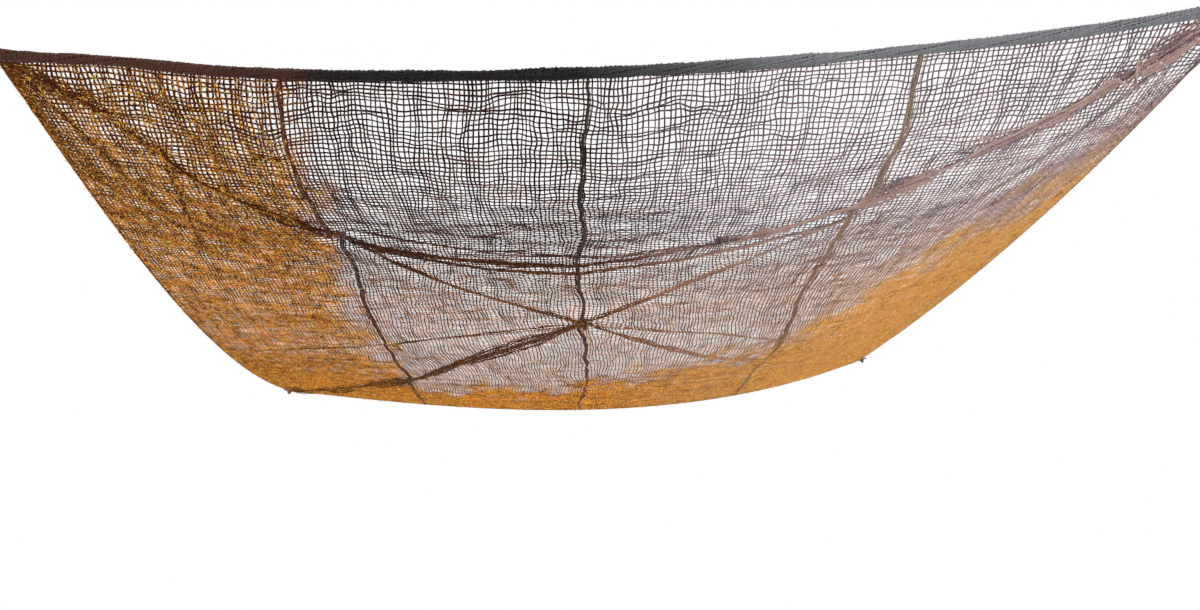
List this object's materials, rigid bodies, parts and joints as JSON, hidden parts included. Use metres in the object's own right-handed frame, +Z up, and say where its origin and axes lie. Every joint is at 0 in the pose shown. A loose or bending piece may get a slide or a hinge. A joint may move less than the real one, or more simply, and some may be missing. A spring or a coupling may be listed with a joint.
{
  "type": "hanging fishing net",
  "caption": "Sagging open-weave fishing net hung by its corners, sewn from strips, with a roped head hem, selvedge lines and swinging corner rings.",
  "frame": {"origin": "centre of the near left ring, where the near left corner is hung", "axes": "+X along the head hem towards the near right corner, +Y from the head hem towards the foot line, +Z up"},
  "size_m": [2.6021, 2.2787, 0.4856],
  "materials": {
    "netting": "coarse natural-fibre yarn, woven open, hairy and uneven, umber to ochre",
    "hem": "tightly rolled dark netting, fuzzy and lumpy",
    "rope": "laid natural-fibre rope, weathered dark",
    "seam_cord": "dark twisted lacing cord",
    "selvedge_line": "thin twisted line, dark brown",
    "seizing_twine": "tarred twine, wound tight",
    "thimble": "galvanised, dulled by weather",
    "ring": "welded and galvanised, rubbed bright inside"
  },
  "bodies": {
    "net": {"foot_line": "selvedge_line", "head_hem": "hem", "head_rope": "rope", "netting_left_inner_back": "netting", "netting_left_inner_front": "netting", "netting_left_outer_back": "netting", "netting_left_outer_front": "netting", "netting_right_inner_back": "netting", "netting_right_inner_front": "netting", "netting_right_outer_back": "netting", "netting_right_outer_front": "netting", "rope_eye_far_left": "rope", "rope_eye_far_right": "rope", "rope_eye_near_left": "rope", "rope_eye_near_right": "rope", "seam_cord_left": "seam_cord", "seam_cord_middle": "seam_cord", "seam_cord_right": "seam_cord", "seizing_far_left": "seizing_twine", "seizing_far_right": "seizing_twine", "seizing_near_left": "seizing_twine", "seizing_near_right": "seizing_twine", "side_line_left": "selvedge_line", "side_line_right": "selvedge_line", "thimble_far_left": "thimble", "thimble_far_right": "thimble", "thimble_near_left": "thimble", "thimble_near_right": "thimble"},
    "ring_body_near_left": {"ring_near_left": "ring"},
    "ring_body_near_right": {"ring_near_right": "ring"},
    "ring_body_far_left": {"ring_far_left": "ring"},
    "ring_body_far_right": {"ring_far_right": "ring"}
  },
  "joints": [
    {"name": "swing_near_left", "type": "hinge", "parent": "net", "child": "ring_body_near_left", "pos_m": [0.02045, -0.00211, -0.00429], "axis": [-0.1025, -0.9947, 0], "range_deg": [-70, 70]},
    {"name": "swing_near_right", "type": "hinge", "parent": "net", "child": "ring_body_near_right", "pos_m": [2.53262, -0.26094, -0.08194], "axis": [0.1025, 0.9947, 0], "range_deg": [-70, 70]},
    {"name": "swing_far_left", "type": "hinge", "parent": "net", "child": "ring_body_far_left", "pos_m": [0.08287, 1.96463, 0.02493], "axis": [-0.7537, -0.6572, 0], "range_deg": [-70, 70]},
    {"name": "swing_far_right", "type": "hinge", "parent": "net", "child": "ring_body_far_right", "pos_m": [2.46846, 1.9646, 0.1674], "axis": [-0.776, 0.6307, 0], "range_deg": [-70, 70]}
  ]
}
